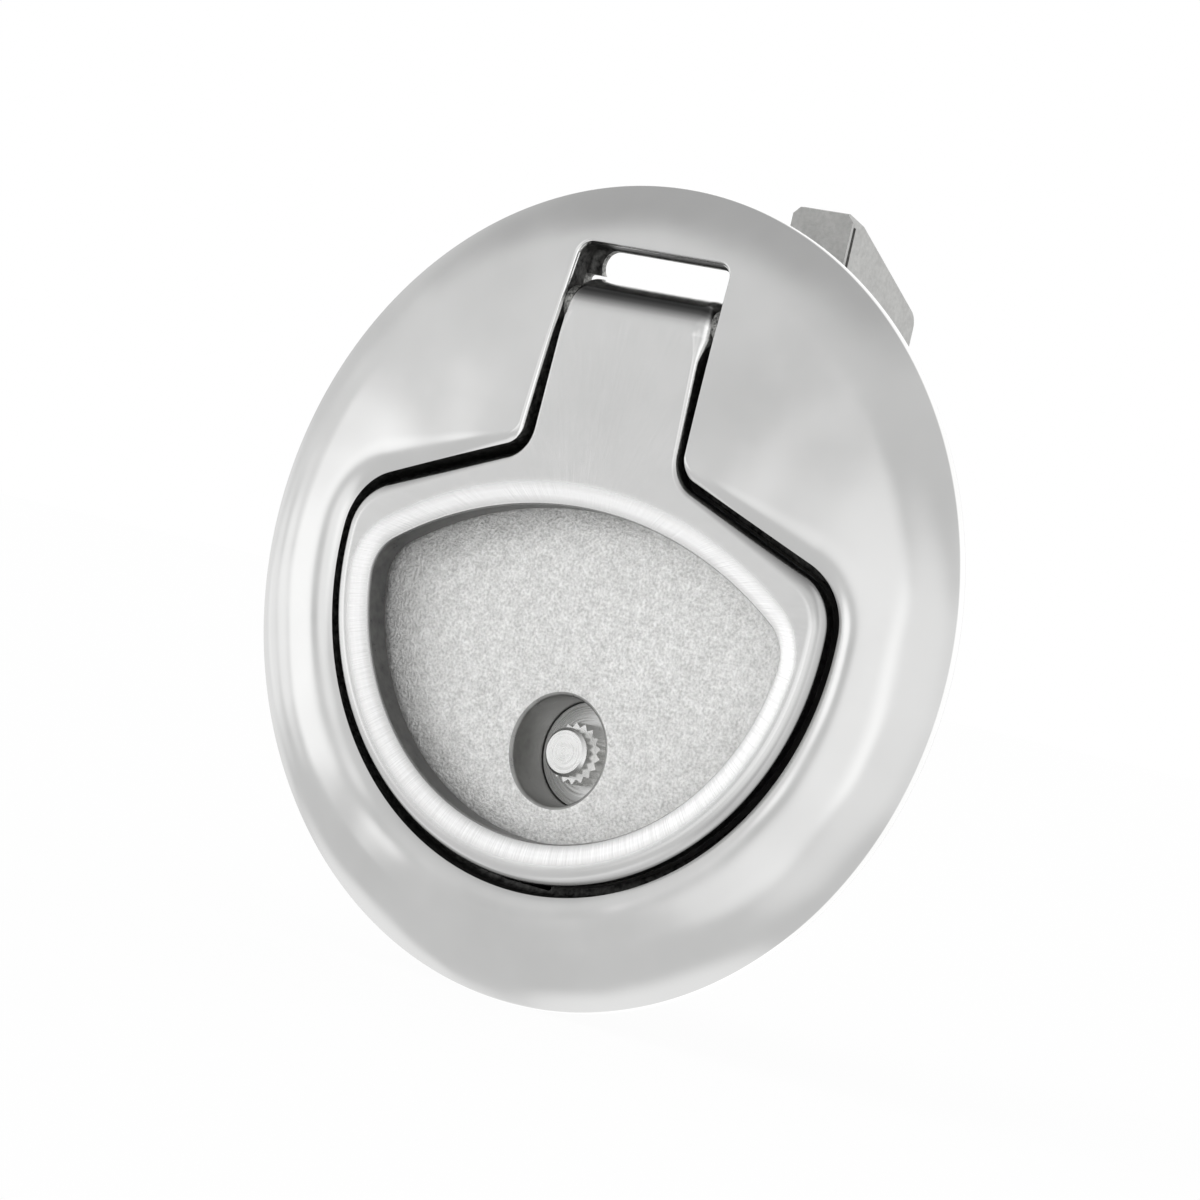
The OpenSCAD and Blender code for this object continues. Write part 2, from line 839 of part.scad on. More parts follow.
flange_body();
panel_seal();
hinge_pin();
pull_handle();
retractor();
bolt();
bolt_spring();
spring_rod();
bolt_housing();
housing_gasket();
screw_upper_right();
screw_upper_left();
screw_lower_left();
screw_lower_right();
lock_spindle();
spindle_seal();
friction_washer();
lock_cam();
cam_clip();
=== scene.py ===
"""Looks of a locking slam latch, built round its solids. Lengths are millimetres until a mesh is made."""
import math

import bmesh
import bpy
import numpy as np
from mathutils import Matrix, Vector


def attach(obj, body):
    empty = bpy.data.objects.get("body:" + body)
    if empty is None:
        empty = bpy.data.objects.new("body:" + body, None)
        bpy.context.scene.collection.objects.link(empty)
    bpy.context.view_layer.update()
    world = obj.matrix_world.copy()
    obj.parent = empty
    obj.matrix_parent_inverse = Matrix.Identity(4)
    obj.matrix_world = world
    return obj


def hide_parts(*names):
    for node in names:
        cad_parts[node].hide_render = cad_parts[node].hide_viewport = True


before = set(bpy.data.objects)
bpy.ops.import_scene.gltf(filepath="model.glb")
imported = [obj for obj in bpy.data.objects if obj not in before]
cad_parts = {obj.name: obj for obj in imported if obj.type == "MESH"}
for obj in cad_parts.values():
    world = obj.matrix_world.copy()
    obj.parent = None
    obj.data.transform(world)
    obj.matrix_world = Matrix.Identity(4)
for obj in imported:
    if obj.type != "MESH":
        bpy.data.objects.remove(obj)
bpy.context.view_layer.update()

MM = 0.001
SHARP = math.radians(35)

# Sizes that follow the solids. The dome is a hair lower than theirs, to stay inside their box
FLANGE_R = 33.35
RIM_H = 0.6
BEVEL_W = 2.45
BEVEL_H = 2.6
DOME_H = 4.97
BARREL_R = 25.1
BARREL_IN = 23.4
BARREL_LEN = 11.0
FLOOR_H = 0.5
FLOOR_BACK = -2.2
RING_R = 23.2
OPEN_R = 20.2
GAP = 1.2
HANDLE_H = 4.0
HANDLE_BACK = 0.9
TONGUE_HALF = 6.3
TONGUE_FLARE = 1.0
SHOULDER_Z = 12.5
SHOULDER_A = math.radians(20.4)
CORNER_R = 4.4
ROOT_R = 3.2
ROOT_Z = 8.0
ARCH_Z = 6.5
ARCH_R = 33.0
ARCH_CORNER_R = 3.5
HINGE_H = 1.6
HINGE_Z = 22.6
ROLL_R = 2.4
RECESS_TOP = 27.6
RECESS_TOP_R = 1.2
SEAL_IN = 28.95
SEAL_OUT = 31.05
SEAL_T = 1.2
KEY_R = 4.45
KEY_Z = -12.8
KEY_DEPTH = 4.9
SPINDLE_R = 2.55
BOSS_WALL = 1.6
BOSS_BACK = 6.2

# Lever behind the hinge: slope, length, half width and tip, and its root's points from the hinge's back
LEVER_A = math.radians(8)
LEVER_LEN = 14.0
LEVER_HALF = 3.8
LEVER_TIP_R = 1.5
LEVER_TIP_TURN = 1.4
LEVER_LOW = [(0.0, -2.2), (2.0, -2.7)]
LEVER_HIGH = [(2.6, -0.2), (0.0, 0.0)]

# Hook behind the ring: half width, and its outline by depth and height
HOOK_HALF = 1.6
HOOK = [(-1.9, -22.9), (5.8, -22.9), (5.8, -20.6), (4.4, -20.6), (4.4, -22.0), (2.3, -22.0), (2.3, -20.6),
        (-1.9, -20.6)]

# Holes in the recess for the hinge, the tongue's top, the lever and the hook:
# half width, low end, high end, corner radius, front and back
HINGE_POCKET = (TONGUE_HALF + GAP, HINGE_Z - ROLL_R - 0.3, HINGE_Z + ROLL_R + 0.3, 0.3, -1.2, 1.1)
TOP_SLOT = (TONGUE_HALF + 0.1, HINGE_Z + ROLL_R - 0.1, RECESS_TOP - 0.15, 1.25, -1.6, 1.6)
LEVER_WINDOW = (4.4, 11.3, 23.0, 0.3, -2.0, 5.2)
HOOK_WINDOW = (2.4, -23.8, -20.3, 0.3, -2.0, 6.4)

# Rounds of the recess: the lip where it is sharp, its width and depth where it is soft, how soft it still
# is at the tongue's root, the foot, and the band of floor along the foot that gets painted shade
LIP_SHARP = 0.4
LIP_SOFT = 3.2
LIP_DEEP = 0.65
LIP_ROOT = 0.3
FOOT_R = 0.5
SHADED_BAND = 1.1
SHADED_BAND_MORE = 1.6

# Key hole: the round at its front edge, and the depths of its cutter's back, of that edge and of its front
KEY_ROUND = 0.3
KEY_CUT_BACK = 4.0
KEY_EDGE = -0.2
KEY_CUT_FRONT = -1.2

# Rounds of the flange's outside
CREASE_R = 9.0
CROWN_R = 29.5
RIM_ROUND = 0.45
EDGE_ROUND = 0.15
NECK_ROUND = 0.4
BARREL_ROUND = 0.3

# Rounds of the handle: width and depth of the brim on ring, tongue and bend ends, its curve, and the back
BRIM_RING = (1.3, 0.9)
BRIM_TONGUE = (0.4, 0.35)
BRIM_BEND_END = (1.6, 1.5)
BRIM_BEND = 2.6
BACK_R = 0.35

# Height of the row of points in the finger opening's wall
INNER_WALL_H = 1.8

# Roll inside the ring: distance from its start, slope there in degrees, and how far it is brushed and
# painted pale as a highlight
ROLL = [(0, 0, 0.0), (0.5, 7, 0.6), (0.9, 13, 1.0), (1.35, 18, 1.0), (1.7, 23, 0.6), (1.95, 32, 0.35),
        (2.02, 45, 0.2), (2.1, 75, 0.0)]
ROLL_W = ROLL[-1][0]

# Room that the handle takes of the gap, and more of it where the tongue's top rolls back in a wide bend
HANDLE_MORE = 0.3
TONGUE_MORE = 0.1
TONGUE_FLARED = 0.6
FLARE_H = 2.4
BEND_R = 3.4
BEND_Z = HINGE_Z + ROLL_R - BEND_R
BEND_HALF = TONGUE_HALF + HANDLE_MORE + TONGUE_MORE + TONGUE_FLARED
# start, end and steps, in degrees from the front: over the bend, then back under the hinge
BEND_OVER = (0, 85, 80)
BEND_UNDER = (112, 315, 60)

# How far painted shade darkens the steel by the dark gap: along the ring's brim, along its roll, by
# degrees round the bend
BRIM_SHADE_PAINT = [(0.0, 0.6), (0.2, 0.45), (0.5, 0.0)]
EDGE_SHADE_PAINT = [(1.98, 0.0), (2.04, 0.7)]
BEND_SHADE_PAINT = [(18, 0.0), (32, 0.8), (40, 0.95), (47, 0.9), (51, 0.3), (56, 0.0)]

# Steps along half of an outline: ring, corner, shoulder, root, tongue's side, its top corner and its top
RING_STEPS = 150
CORNER_STEPS = 36
SHOULDER_STEPS = 36
ROOT_STEPS = 24
SIDE_STEPS = 50
TOP_CORNER_STEPS = 12
TOP_STEPS = 15
# Steps of the finger opening's outline, and rows across the rounds
OPENING_STEPS = (900, 400, 700)
FOOT_ROWS = 6
LIP_ROWS = 20
DOME_ROWS = 30
CROWN_ROWS = 20
BACK_ROWS = 5
BRIM_ROWS = 16
FACE_ROWS = 9
ROLL_ROWS = 31
KEY_ROWS = 6
TIP_STEPS = 12
KEY_STEPS = 96
FILLET_STEPS = 8
# Shares of the recess wall's height at which it has rows
WALL_SHARES = (0.35, 0.7)

# Point inside the finger opening that its outline is measured from, and a hair past an angle's end
EYE = np.array([0.0, -3.0])
HAIR = 1e-6

# Radius of the dome's sphere
SPHERE = ((FLANGE_R - BEVEL_W) ** 2 + (DOME_H - BEVEL_H) ** 2) / (2 * (DOME_H - BEVEL_H))


def smooth(mesh):
    """Shades a mesh smooth, apart from its sharp edges."""
    mesh.shade_smooth()
    mesh.set_sharp_from_angle(angle=SHARP)


class Shape:
    """Vertices, faces and material numbers of a mesh that grows piece by piece."""

    def __init__(self):
        self.verts = []
        self.faces = []
        self.mats = []

    def face(self, corners, mat):
        self.faces.append(corners)
        self.mats.append(mat)

    def loft(self, rows, mats, caps=(None, None), ring=False):
        """Joins closed rows of points in turn, last to first in a ring. A cap is a flat end's material."""
        n = len(rows[0])
        starts = [len(self.verts) + k * n for k in range(len(rows))]
        for row in rows:
            self.verts += [tuple(v) for v in row]
        pairs = list(zip(starts, starts[1:]))
        if ring:
            pairs.append((starts[-1], starts[0]))
        for (a, b), mat in zip(pairs, mats):
            for i in range(n):
                j = (i + 1) % n
                self.face([a + i, b + i, b + j, a + j], mat)
        if caps[0] is not None:
            self.face([starts[0] + i for i in range(n)], caps[0])
        if caps[1] is not None:
            self.face([starts[-1] + i for i in reversed(range(n))], caps[1])

    def prism(self, outline, low, high, axis, mat=0):
        """An outline of points made solid along Y (points in X and Z) or X (points in Y and Z)."""
        def lift(p, t):
            return (p[0], t, p[1]) if axis == "Y" else (t, p[0], p[1])
        self.loft([[lift(p, low) for p in outline], [lift(p, high) for p in outline]], [mat], (mat, mat))

    def build(self, name, materials):
        mesh = bpy.data.meshes.new(name)
        mesh.from_pydata([[c * MM for c in v] for v in self.verts], [], self.faces)
        for m in materials:
            mesh.materials.append(m)
        mesh.polygons.foreach_set("material_index", self.mats)
        work = bmesh.new()
        work.from_mesh(mesh)
        bmesh.ops.recalc_face_normals(work, faces=work.faces)
        work.to_mesh(mesh)
        work.free()
        smooth(mesh)
        piece = bpy.data.objects.new(name, mesh)
        bpy.context.scene.collection.objects.link(piece)
        return piece


# Outlines in X and Z

def arc(c, r, start, stop, n, out=1.0):
    """Points of an arc, and the directions out of it."""
    a = np.linspace(start, stop, n, endpoint=False)
    d = np.stack([np.cos(a), np.sin(a)], 1)
    return np.asarray(c) + r * d, out * d


def line(p, q, n):
    """Points of a line, and the direction to its right."""
    p = np.asarray(p, float)
    q = np.asarray(q, float)
    t = np.linspace(0, 1, n, endpoint=False)[:, None]
    d = (q - p) / np.linalg.norm(q - p)
    return p + (q - p) * t, np.tile([d[1], -d[0]], (n, 1))


def shoulder_corner(r, c, s):
    """Middle of the round between a ring of radius r and a shoulder that meets the axis at s."""
    t = math.tan(SHOULDER_A)
    b = s - c / math.cos(SHOULDER_A)
    k = 1 + t * t
    x = (b * t + math.sqrt(b * b * t * t - k * (b * b - (r - c) ** 2))) / k
    return np.array([x, b - t * x])


def root_point(f, w, s, tilt):
    """Middle of the round between that shoulder and the tongue's side."""
    t = math.tan(SHOULDER_A)
    lean = math.tan(tilt)
    up = s + f / math.cos(SHOULDER_A)
    x = (w + HINGE_Z * lean + f / math.cos(tilt) - up * lean) / (1 - t * lean)
    return np.array([x, up - t * x])


def plan(grow, top, top_r):
    """Outline of ring, shoulders and tongue, grown by a margin.

    Gives its points, the directions out of it, and a value that is 1 on the ring and fades to 0 on
    the tongue.
    """
    r = RING_R + grow
    c = CORNER_R + grow
    s = SHOULDER_Z + grow / math.cos(SHOULDER_A)
    w = TONGUE_HALF + grow
    q = ROOT_R - grow
    flare = TONGUE_FLARE / 2 / (HINGE_Z - ROOT_Z)
    tilt = math.atan(flare)
    slope = np.array([math.sin(SHOULDER_A), math.cos(SHOULDER_A)])
    side = np.array([math.cos(tilt), math.sin(tilt)])
    mid = shoulder_corner(r, c, s)
    root = root_point(q, w, s, tilt)
    low = math.atan2(mid[1], mid[0])
    top_w = w + (HINGE_Z - top) * flare
    parts = [
        arc((0, 0), r, -math.pi / 2, low, RING_STEPS),
        arc(mid, c, low, math.pi / 2 - SHOULDER_A, CORNER_STEPS),
        line(mid + c * slope, root - q * slope, SHOULDER_STEPS),
        arc(root, q, 1.5 * math.pi - SHOULDER_A, math.pi + tilt, ROOT_STEPS, -1.0),
        line(root - q * side, (top_w, top - top_r), SIDE_STEPS),
    ]
    x = np.linspace(top_w - top_r, 0, TOP_STEPS)
    if top_r:
        parts.append(arc((top_w - top_r, top - top_r), top_r, 0, math.pi / 2, TOP_CORNER_STEPS))
        top_out = np.tile([0.0, 1.0], (TOP_STEPS, 1))
    else:
        # a top with sharp corners moves sideways only
        top_out = np.stack([x / top_w, 0 * x], 1)
    parts.append((np.stack([x, np.full_like(x, top)], 1), top_out))
    points = np.concatenate([p[0] for p in parts])
    out = np.concatenate([p[1] for p in parts])
    soft = np.concatenate([np.ones(RING_STEPS + CORNER_STEPS), np.linspace(1, LIP_ROOT, SHOULDER_STEPS),
                           LIP_ROOT * np.linspace(1, 0, ROOT_STEPS)])
    soft = np.pad(soft, (0, len(points) - len(soft)))
    flip = np.array([-1.0, 1.0])
    return (np.concatenate([points, points[-2:0:-1] * flip]), np.concatenate([out, out[-2:0:-1] * flip]),
            np.concatenate([soft, soft[-2:0:-1]]))


def opening(grow, angles):
    """Points of the finger opening's outline, grown by a margin, at angles about a point inside it."""
    a = ARCH_Z - ARCH_R
    p = OPEN_R - ARCH_CORNER_R
    q = ARCH_R - ARCH_CORNER_R
    z = (p * p + a * a - q * q) / (2 * a)
    mid = np.array([math.sqrt(p * p - z * z), z])
    low = math.atan2(mid[1], mid[0])
    high = math.atan2(mid[1] - a, mid[0])
    ring_steps, corner_steps, arch_steps = OPENING_STEPS
    points = np.concatenate([
        arc((0, 0), OPEN_R + grow, -math.pi / 2, low, ring_steps)[0],
        arc(mid, ARCH_CORNER_R + grow, low, high, corner_steps)[0],
        arc((0, a), ARCH_R + grow, high, math.pi / 2 + HAIR, arch_steps)[0],
    ])
    at = np.arctan2(points[:, 1] - EYE[1], points[:, 0])
    on_right = np.cos(angles) >= 0
    want = np.where(on_right, angles, math.pi - angles)
    want = (want + math.pi) % (2 * math.pi) - math.pi
    x = np.interp(want, at, points[:, 0])
    return np.stack([np.where(on_right, x, -x), np.interp(want, at, points[:, 1])], 1)


def rounded_box(x, z0, z1, r):
    """A box of half width x from z0 to z1, with round corners."""
    points = []
    middles = ((x - r, z1 - r), (r - x, z1 - r), (r - x, z0 + r), (x - r, z0 + r))
    for turn, (cx, cz) in enumerate(middles):
        for k in range(FILLET_STEPS + 1):
            a = math.radians(90 * turn + 90 * k / FILLET_STEPS)
            points.append((cx + r * math.cos(a), cz + r * math.sin(a)))
    return points


# Heights of the flange's front

def crease():
    """Centre of the round between dome and bevel, and the radii at which it starts and ends."""
    down = np.array([BEVEL_W, RIM_H - BEVEL_H])
    down /= np.linalg.norm(down)
    inward = np.array([down[1], -down[0]])
    middle = np.array([0.0, DOME_H - SPHERE])
    base = np.array([FLANGE_R, RIM_H]) + inward * CREASE_R - middle
    k = base @ down
    to_centre = base - (k + math.sqrt(k * k - base @ base + (SPHERE - CREASE_R) ** 2)) * down
    centre = to_centre + middle
    return centre, SPHERE * to_centre[0] / np.linalg.norm(to_centre), centre[0] - inward[0] * CREASE_R


CREASE, CREASE_START, CREASE_END = crease()


def front(r):
    """Height of the flange's front at a distance from the middle."""
    cap = DOME_H - SPHERE + np.sqrt(SPHERE ** 2 - r ** 2)
    crown = CREASE[1] + np.sqrt(np.maximum(CREASE_R ** 2 - (r - CREASE[0]) ** 2, 0))
    return np.where(r < CREASE_START, cap, crown)


def dome(points):
    return front(np.hypot(points[:, 0], points[:, 1]))


def raised(points, height):
    """Outline points with their height towards the front, as X, Y and Z."""
    h = np.broadcast_to(height, len(points))
    return np.stack([points[:, 0], -h, points[:, 1]], 1)


def fillet_profile(points, radii):
    """A line of radius and height points whose inner corners are rounded."""
    out = [np.asarray(points[0], float)]
    for a, k, b, r in zip(points, points[1:], points[2:], radii):
        a, k, b = (np.asarray(v, float) for v in (a, k, b))
        u = (a - k) / np.linalg.norm(a - k)
        v = (b - k) / np.linalg.norm(b - k)
        if r == 0:
            out.append(k)
            continue
        half = math.acos(np.clip(u @ v, -1, 1)) / 2
        centre = k + (u + v) / np.linalg.norm(u + v) * r / math.sin(half)
        start = k + u * r / math.tan(half) - centre
        stop = k + v * r / math.tan(half) - centre
        for t in np.linspace(0, 1, FILLET_STEPS + 1):
            d = start * (1 - t) + stop * t
            out.append(centre + d / np.linalg.norm(d) * r)
    out.append(np.asarray(points[-1], float))
    return out


# Parts of materials

def node_tree(name):
    material = bpy.data.materials.new(name)
    material.use_nodes = True
    return material, material.node_tree, material.node_tree.nodes["Principled BSDF"]


def place(tree):
    return tree.nodes.new("ShaderNodeTexCoord").outputs["Object"]


def noise(tree, vector, scale, detail=3.0, rough=0.55):
    n = tree.nodes.new("ShaderNodeTexNoise")
    n.inputs["Scale"].default_value = scale
    n.inputs["Detail"].default_value = detail
    n.inputs["Roughness"].default_value = rough
    tree.links.new(vector, n.inputs["Vector"])
    return n.outputs["Fac"]


def ramp(tree, value, low, high, start=0.3, stop=0.7):
    """A number that runs from low to high with a value."""
    r = tree.nodes.new("ShaderNodeMapRange")
    r.inputs["From Min"].default_value = start
    r.inputs["From Max"].default_value = stop
    r.inputs["To Min"].default_value = low
    r.inputs["To Max"].default_value = high
    tree.links.new(value, r.inputs["Value"])
    return r.outputs["Result"]


def shade(tree, value, dark, light, start=0.3, stop=0.7):
    """A colour that runs from dark to light with a value."""
    r = tree.nodes.new("ShaderNodeValToRGB")
    for element, position, colour in zip(r.color_ramp.elements, (start, stop), (dark, light)):
        element.position = position
        element.color = (*colour, 1)
    tree.links.new(value, r.inputs["Fac"])
    return r.outputs["Color"]


def blend(tree, factor, colour, other):
    """A colour that a factor turns into a plain other one."""
    mix = tree.nodes.new("ShaderNodeMix")
    mix.data_type = "RGBA"
    mix.inputs["B"].default_value = (*other, 1)
    tree.links.new(factor, mix.inputs["Factor"])
    tree.links.new(colour, mix.inputs["A"])
    return mix.outputs["Result"]


def bump(tree, shader, height, strength, distance):
    b = tree.nodes.new("ShaderNodeBump")
    b.inputs["Strength"].default_value = strength
    b.inputs["Distance"].default_value = distance
    tree.links.new(height, b.inputs["Height"])
    tree.links.new(b.outputs["Normal"], shader.inputs["Normal"])


def dress(tree, shader, colour, rough, metal=1.0):
    """Gives a shader its colour, its roughness and how far it is metal."""
    shader.inputs["Metallic"].default_value = metal
    tree.links.new(colour, shader.inputs["Base Color"])
    tree.links.new(rough, shader.inputs["Roughness"])


def math_node(tree, kind, a, b=None):
    m = tree.nodes.new("ShaderNodeMath")
    m.operation = kind
    for socket, value in zip(m.inputs, (a, b)):
        if value is None:
            continue
        if isinstance(value, (int, float)):
            socket.default_value = value
        else:
            tree.links.new(value, socket)
    return m.outputs[0]


def painted(tree, name):
    """Value of a vertex attribute."""
    attribute = tree.nodes.new("ShaderNodeAttribute")
    attribute.attribute_name = name
    return attribute.outputs["Fac"]


def stretched(tree, scale):
    """Object coordinates stretched along an axis, for grain that runs one way."""
    m = tree.nodes.new("ShaderNodeMapping")
    m.inputs["Scale"].default_value = scale
    tree.links.new(place(tree), m.inputs["Vector"])
    return m.outputs["Vector"]


def round_ring(tree, spot, turns, depth):
    """Coordinates that run round a middle and out from it."""
    split = tree.nodes.new("ShaderNodeSeparateXYZ")
    tree.links.new(spot, split.inputs[0])
    x = split.outputs["X"]
    z = split.outputs["Z"]
    angle = math_node(tree, "ARCTAN2", z, x)
    square = math_node(tree, "ADD", math_node(tree, "MULTIPLY", x, x), math_node(tree, "MULTIPLY", z, z))
    join = tree.nodes.new("ShaderNodeCombineXYZ")
    tree.links.new(math_node(tree, "MULTIPLY", angle, turns), join.inputs[0])
    tree.links.new(math_node(tree, "MULTIPLY", math_node(tree, "SQRT", square), depth), join.inputs[1])
    return join.outputs[0]


# Materials

# Polished steel's darkest and lightest colour, its pale painted highlight where brushed, and its painted
# shade beside the dark gap
STEEL_DARK = (0.77, 0.77, 0.765)
STEEL_LIGHT = (0.83, 0.83, 0.825)
STEEL_BRUSHED_HIGHLIGHT = (0.97, 0.97, 0.97)
STEEL_SHADED = (0.01, 0.01, 0.01)
# The dome's slow waves in metres, and the fine grain's share of them
WAVE = 0.0006
GRAIN_SHARE = 0.002
# Marks on ring and post: per radian round them, and per metre outwards
RING_TURNS = 240.0
RING_DEPTH = 260.0
POST_TURNS = 0.4
POST_DEPTH = 6000.0
# Cast steel's coarse speckles beside its fine ones, and the shares of both
COARSE_SCALE = 0.35
FINE_SHARE = 0.7
COARSE_SHARE = 0.3


def clouded(tree):
    """A faint cloud, and the polished steel's colour with it."""
    cloud = noise(tree, place(tree), scale=90.0, detail=4.0)
    return cloud, shade(tree, cloud, STEEL_DARK, STEEL_LIGHT)


def polished_steel(name):
    """Mirror-polished stainless with a faint cloud, slow waves and fine grain."""
    material, tree, shader = node_tree(name)
    cloud, colour = clouded(tree)
    wave = noise(tree, place(tree), scale=75.0, detail=1.0)
    grain = noise(tree, place(tree), scale=5200.0, detail=2.0)
    dress(tree, shader, colour, ramp(tree, cloud, low=0.12, high=0.22))
    uneven = math_node(tree, "ADD", wave, math_node(tree, "MULTIPLY", grain, GRAIN_SHARE))
    bump(tree, shader, uneven, strength=1.0, distance=WAVE)
    return material


def ring_steel(name):
    """Polished stainless with marks across the ring's bar, brushed and painted pale as a highlight, and
    painted shade by the gap.
    """
    material, tree, shader = node_tree(name)
    colour = clouded(tree)[1]
    spot = round_ring(tree, place(tree), RING_TURNS, RING_DEPTH)
    marks = noise(tree, spot, scale=1.0, detail=3.0, rough=0.6)
    highlight_streaks = math_node(tree, "MULTIPLY", painted(tree, "brushed_highlight"), ramp(tree, marks, low=0.7, high=1.0))
    # painted highlight: where brushed, the streaks turn the steel pale
    colour = blend(tree, highlight_streaks, colour, STEEL_BRUSHED_HIGHLIGHT)
    # painted shade: the steel turns near black where the dark gap would shade it
    colour = blend(tree, painted(tree, "painted_shade"), colour, STEEL_SHADED)
    dress(tree, shader, colour, ramp(tree, marks, low=0.13, high=0.27))
    # the painted highlight is made matt, so it stays pale from every side
    metal = ramp(tree, highlight_streaks, low=1.0, high=0.1, start=0.0, stop=1.0)
    tree.links.new(metal, shader.inputs["Metallic"])
    bump(tree, shader, marks, strength=0.5, distance=0.00001)
    return material


def cast_steel(name, dark, light, scale, rough, depth, metal=0.85):
    """Blasted or cast steel: speckled colour and a pitted surface."""
    material, tree, shader = node_tree(name)
    fine = noise(tree, place(tree), scale, detail=3.0, rough=0.6)
    coarse = noise(tree, place(tree), scale * COARSE_SCALE, detail=2.0)
    speckles = math_node(tree, "ADD", math_node(tree, "MULTIPLY", fine, FINE_SHARE),
                         math_node(tree, "MULTIPLY", coarse, COARSE_SHARE))
    colour = shade(tree, speckles, dark, light, start=0.35, stop=0.65)
    dress(tree, shader, colour, ramp(tree, fine, low=rough - 0.08, high=rough + 0.1), metal)
    bump(tree, shader, speckles, strength=0.8, distance=depth)
    return material


def turned_steel(name):
    """Machined steel with fine tool marks round the barrel axis."""
    material, tree, shader = node_tree(name)
    marks = noise(tree, stretched(tree, (300.0, 9000.0, 300.0)), scale=1.0, detail=2.0)
    cloud = noise(tree, place(tree), scale=200.0, detail=3.0)
    colour = shade(tree, cloud, dark=(0.56, 0.56, 0.56), light=(0.66, 0.66, 0.655))
    dress(tree, shader, colour, ramp(tree, marks, low=0.22, high=0.42))
    bump(tree, shader, marks, strength=0.3, distance=0.00002)
    return material


def post_steel(name):
    """Bright turned steel with tool rings round the key post."""
    material, tree, shader = node_tree(name)
    shift = tree.nodes.new("ShaderNodeVectorMath")
    shift.inputs[1].default_value = (0, 0, -KEY_Z * MM)
    tree.links.new(place(tree), shift.inputs[0])
    spot = round_ring(tree, shift.outputs[0], POST_TURNS, POST_DEPTH)
    rings = noise(tree, spot, scale=1.0, detail=2.0)
    cloud = noise(tree, place(tree), scale=500.0, detail=3.0)
    colour = shade(tree, cloud, dark=(0.88, 0.88, 0.87), light=(0.97, 0.97, 0.96))
    dress(tree, shader, colour, ramp(tree, rings, low=0.15, high=0.4))
    bump(tree, shader, rings, strength=0.6, distance=0.00003)
    return material


def rubber(name):
    """Black seal rubber with a dusty, slightly uneven skin."""
    material, tree, shader = node_tree(name)
    dust = noise(tree, place(tree), scale=900.0, detail=4.0)
    colour = shade(tree, dust, dark=(0.018, 0.018, 0.019), light=(0.04, 0.04, 0.041))
    dress(tree, shader, colour, ramp(tree, dust, low=0.5, high=0.75), metal=0.0)
    bump(tree, shader, dust, strength=0.3, distance=0.00002)
    return material


POLISHED = polished_steel("polished_dome")
RING_STEEL = ring_steel("polished_ring")
# darkest and lightest colour, speckles' scale, roughness, depth of the pits, and how far it is metal
BLASTED = cast_steel("blasted_floor", (0.56, 0.56, 0.55), (1.0, 1.0, 0.99), 4000.0, 0.36, 0.0003, 0.4)
ROUGH_WALL = cast_steel("cast_wall", (0.05, 0.05, 0.05), (0.60, 0.60, 0.58), 4600.0, 0.5, 0.00015)
# painted shade: near-black wall of the recess, the band of floor along it, and the walls of the lever and
# hook windows
GAP_SHADE = cast_steel("gap_painted_shade", (0.012, 0.012, 0.012), (0.14, 0.14, 0.135), 2600.0, 0.5, 0.00012)
# painted shade: dark inner wall, back and hook of the ring
RING_SHADED_WALL = cast_steel("ring_painted_shade_wall", (0.11, 0.11, 0.11), (0.17, 0.17, 0.165), 1200.0, 0.35, 0.00001)
BORE = cast_steel("bore_wall", (0.30, 0.30, 0.295), (0.40, 0.40, 0.39), 1200.0, 0.35, 0.00001)
CAST = cast_steel("cast_bolt", (0.38, 0.38, 0.372), (0.50, 0.50, 0.49), 2600.0, 0.5, 0.00006)
TURNED = turned_steel("turned_steel")
POST = post_steel("polished_post")
RUBBER = rubber("seal_rubber")


# Flange: one closed loft from the recess floor over the dome to the barrel, then cut for its holes

def key_rows(profile):
    """Rows of a body turned about the key's axis, from radius and depth."""
    a = np.linspace(0, 2 * math.pi, KEY_STEPS, endpoint=False)
    return [np.stack([r * np.cos(a), np.full(KEY_STEPS, depth), r * np.sin(a) + KEY_Z], 1)
            for r, depth in profile]


def cut(piece, cutters):
    """Takes solids away from a piece and keeps the result as its mesh."""
    for cutter, material in cutters:
        tool = cutter.build("cutter", [material])
        m = piece.modifiers.new("cut", "BOOLEAN")
        m.operation = "DIFFERENCE"
        m.solver = "EXACT"
        m.object = tool
        m.material_mode = "TRANSFER"
    bpy.context.view_layer.update()
    done = bpy.data.meshes.new_from_object(piece.evaluated_get(bpy.context.evaluated_depsgraph_get()))
    tools = [m.object for m in piece.modifiers]
    piece.modifiers.clear()
    piece.data = done
    for tool in tools:
        bpy.data.objects.remove(tool)
    smooth(done)


def key_cutter():
    """The key hole with the small round at its front edge."""
    profile = [(KEY_R, KEY_CUT_BACK)]
    for a in np.linspace(0, math.pi / 2, KEY_ROWS):
        profile.append((KEY_R + KEY_ROUND * (1 - math.cos(a)), KEY_EDGE - KEY_ROUND * math.sin(a)))
    profile.append((KEY_R + KEY_ROUND, KEY_CUT_FRONT))
    shape = Shape()
    shape.loft(key_rows(profile), [0] * len(profile), (0, 0))
    return shape


def hole_cutter(half, low, high, corner, ahead, behind):
    shape = Shape()
    shape.prism(rounded_box(half, low, high, corner), ahead, behind, "Y")
    return shape


